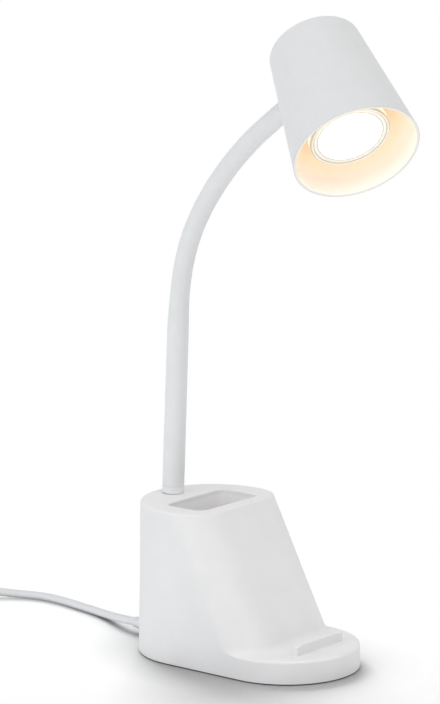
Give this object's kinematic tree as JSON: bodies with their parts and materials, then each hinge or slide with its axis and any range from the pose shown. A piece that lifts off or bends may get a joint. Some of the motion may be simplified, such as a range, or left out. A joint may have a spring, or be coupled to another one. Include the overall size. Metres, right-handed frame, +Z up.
{
  "type": "desk lamp",
  "caption": "Desk lamp with a flexible arm, a conical spotlight shade, and a moulded base holding a pen pocket and a phone tray.",
  "frame": {"origin": "the point on the desk under the middle of the base", "axes": "+Z up along the arm, -Y towards the phone tray at the front, +X to the right seen from the front"},
  "size_m": [0.1558, 0.4563, 0.4114],
  "materials": {
    "housing_white": "matte",
    "underside_plastic": "matte",
    "foot_rubber": "matte",
    "bright_steel": "satin",
    "weight_steel": "satin",
    "terminal_plastic": "satin",
    "cord_white": "satin",
    "collar_white": "satin",
    "zinc_steel": "satin",
    "gooseneck_steel": "satin",
    "sleeve_silicone": "matte",
    "shade_white": "matte",
    "holder_ceramic": "matte",
    "bulb_plastic": "satin",
    "bulb_glass": "gloss",
    "pin_brass": "satin",
    "switch_white": "satin",
    "rocker_white": "satin",
    "plug_nickel": "satin"
  },
  "bodies": {
    "base": {"base_housing": "housing_white", "base_plate": "underside_plastic", "rubber_foot": "foot_rubber", "base_screws": "bright_steel", "ballast_weight": "weight_steel", "ballast_screws": "bright_steel", "terminal_block": "terminal_plastic", "terminal_screws": "bright_steel", "cord_gland": "cord_white", "mains_stub": "cord_white", "lamp_lead": "cord_white", "arm_base_fitting": "collar_white", "arm_washer": "zinc_steel", "arm_nut": "zinc_steel", "arm_core_0": "gooseneck_steel", "arm_sleeve_0": "sleeve_silicone", "cord_lead": "cord_white", "cord_mid": "cord_white", "cord_tail": "cord_white", "cord_coil": "cord_white", "switch_upper": "switch_white", "switch_lower": "switch_white", "switch_screws": "bright_steel", "plug_body": "switch_white", "plug_pins": "plug_nickel"},
    "arm_link_1": {"arm_core_1": "gooseneck_steel", "arm_sleeve_1": "sleeve_silicone"},
    "arm_link_2": {"arm_core_2": "gooseneck_steel", "arm_sleeve_2": "sleeve_silicone"},
    "arm_link_3": {"arm_core_3": "gooseneck_steel", "arm_sleeve_3": "sleeve_silicone"},
    "arm_link_4": {"arm_core_4": "gooseneck_steel", "arm_sleeve_4": "sleeve_silicone"},
    "arm_link_5": {"arm_core_5": "gooseneck_steel", "arm_sleeve_5": "sleeve_silicone"},
    "arm_link_6": {"arm_core_6": "gooseneck_steel", "arm_sleeve_6": "sleeve_silicone"},
    "arm_link_7": {"arm_core_7": "gooseneck_steel", "arm_sleeve_7": "sleeve_silicone"},
    "arm_link_8": {"arm_core_8": "gooseneck_steel", "arm_sleeve_8": "sleeve_silicone"},
    "arm_link_9": {"arm_core_9": "gooseneck_steel", "arm_sleeve_9": "sleeve_silicone", "arm_end_fitting": "collar_white", "end_washer": "zinc_steel", "end_nut": "zinc_steel"},
    "shade": {"lamp_shade": "shade_white", "shade_saddle": "collar_white", "inner_saddle": "zinc_steel", "lampholder_bracket": "zinc_steel", "lampholder": "holder_ceramic", "holder_screws": "bright_steel"},
    "bulb": {"bulb_body": "bulb_plastic", "bulb_lens": "bulb_glass", "bulb_pins": "pin_brass"},
    "rocker": {"switch_rocker": "rocker_white"}
  },
  "joints": [
    {"name": "arm_lower_bend", "type": "hinge", "parent": "base", "child": "arm_link_1", "pos_m": [0, 0.05718, 0.2165], "axis": [1, 0, 0], "range_deg": [-8, 13]},
    {"name": "arm_bend_2", "type": "hinge", "parent": "arm_link_1", "child": "arm_link_2", "pos_m": [0, 0.05558, 0.23342], "axis": [1, 0, 0], "range_deg": [-8, 13]},
    {"name": "arm_side_bend", "type": "hinge", "parent": "arm_link_2", "child": "arm_link_3", "pos_m": [0, 0.05243, 0.25012], "axis": [0, 0.9688, 0.2478], "range_deg": [-18, 18]},
    {"name": "arm_bend_4", "type": "hinge", "parent": "arm_link_3", "child": "arm_link_4", "pos_m": [0, 0.04717, 0.26629], "axis": [1, 0, 0], "range_deg": [-8, 13]},
    {"name": "arm_upper_bend", "type": "hinge", "parent": "arm_link_4", "child": "arm_link_5", "pos_m": [0, 0.03959, 0.28151], "axis": [1, 0, 0], "range_deg": [-10, 15]},
    {"name": "arm_bend_6", "type": "hinge", "parent": "arm_link_5", "child": "arm_link_6", "pos_m": [0, 0.03038, 0.2958], "axis": [0, 0.8151, 0.5793], "range_deg": [-18, 18]},
    {"name": "arm_bend_7", "type": "hinge", "parent": "arm_link_6", "child": "arm_link_7", "pos_m": [0, 0.01991, 0.30919], "axis": [1, 0, 0], "range_deg": [-10, 15]},
    {"name": "arm_bend_8", "type": "hinge", "parent": "arm_link_7", "child": "arm_link_8", "pos_m": [0, 0.00843, 0.32173], "axis": [1, 0, 0], "range_deg": [-10, 15]},
    {"name": "arm_bend_9", "type": "hinge", "parent": "arm_link_8", "child": "arm_link_9", "pos_m": [0, -0.00394, 0.33339], "axis": [0, 0.6514, 0.7587], "range_deg": [-18, 18]},
    {"name": "head_swivel", "type": "hinge", "parent": "arm_link_9", "child": "shade", "pos_m": [0, -0.03365, 0.3566], "axis": [0, -0.788, 0.6157], "range_deg": [-65, 110]},
    {"name": "bulb_twist", "type": "hinge", "parent": "shade", "child": "bulb", "pos_m": [-0.02456, -0.10083, 0.3342], "axis": [0.3814, 0.661, 0.6462], "range_deg": [0, 25]},
    {"name": "rocker_tilt", "type": "hinge", "parent": "base", "child": "rocker", "pos_m": [-0.01205, 0.2591, 0.0106], "axis": [-0.8532, -0.5216, 0], "range_deg": [-14, 0]}
  ],
  "couplings": [
    {"joint": "arm_bend_2", "follows": "arm_lower_bend", "ratio": 1},
    {"joint": "arm_bend_4", "follows": "arm_lower_bend", "ratio": 1},
    {"joint": "arm_bend_6", "follows": "arm_side_bend", "ratio": 1},
    {"joint": "arm_bend_7", "follows": "arm_upper_bend", "ratio": 1},
    {"joint": "arm_bend_8", "follows": "arm_upper_bend", "ratio": 1},
    {"joint": "arm_bend_9", "follows": "arm_side_bend", "ratio": 1}
  ]
}
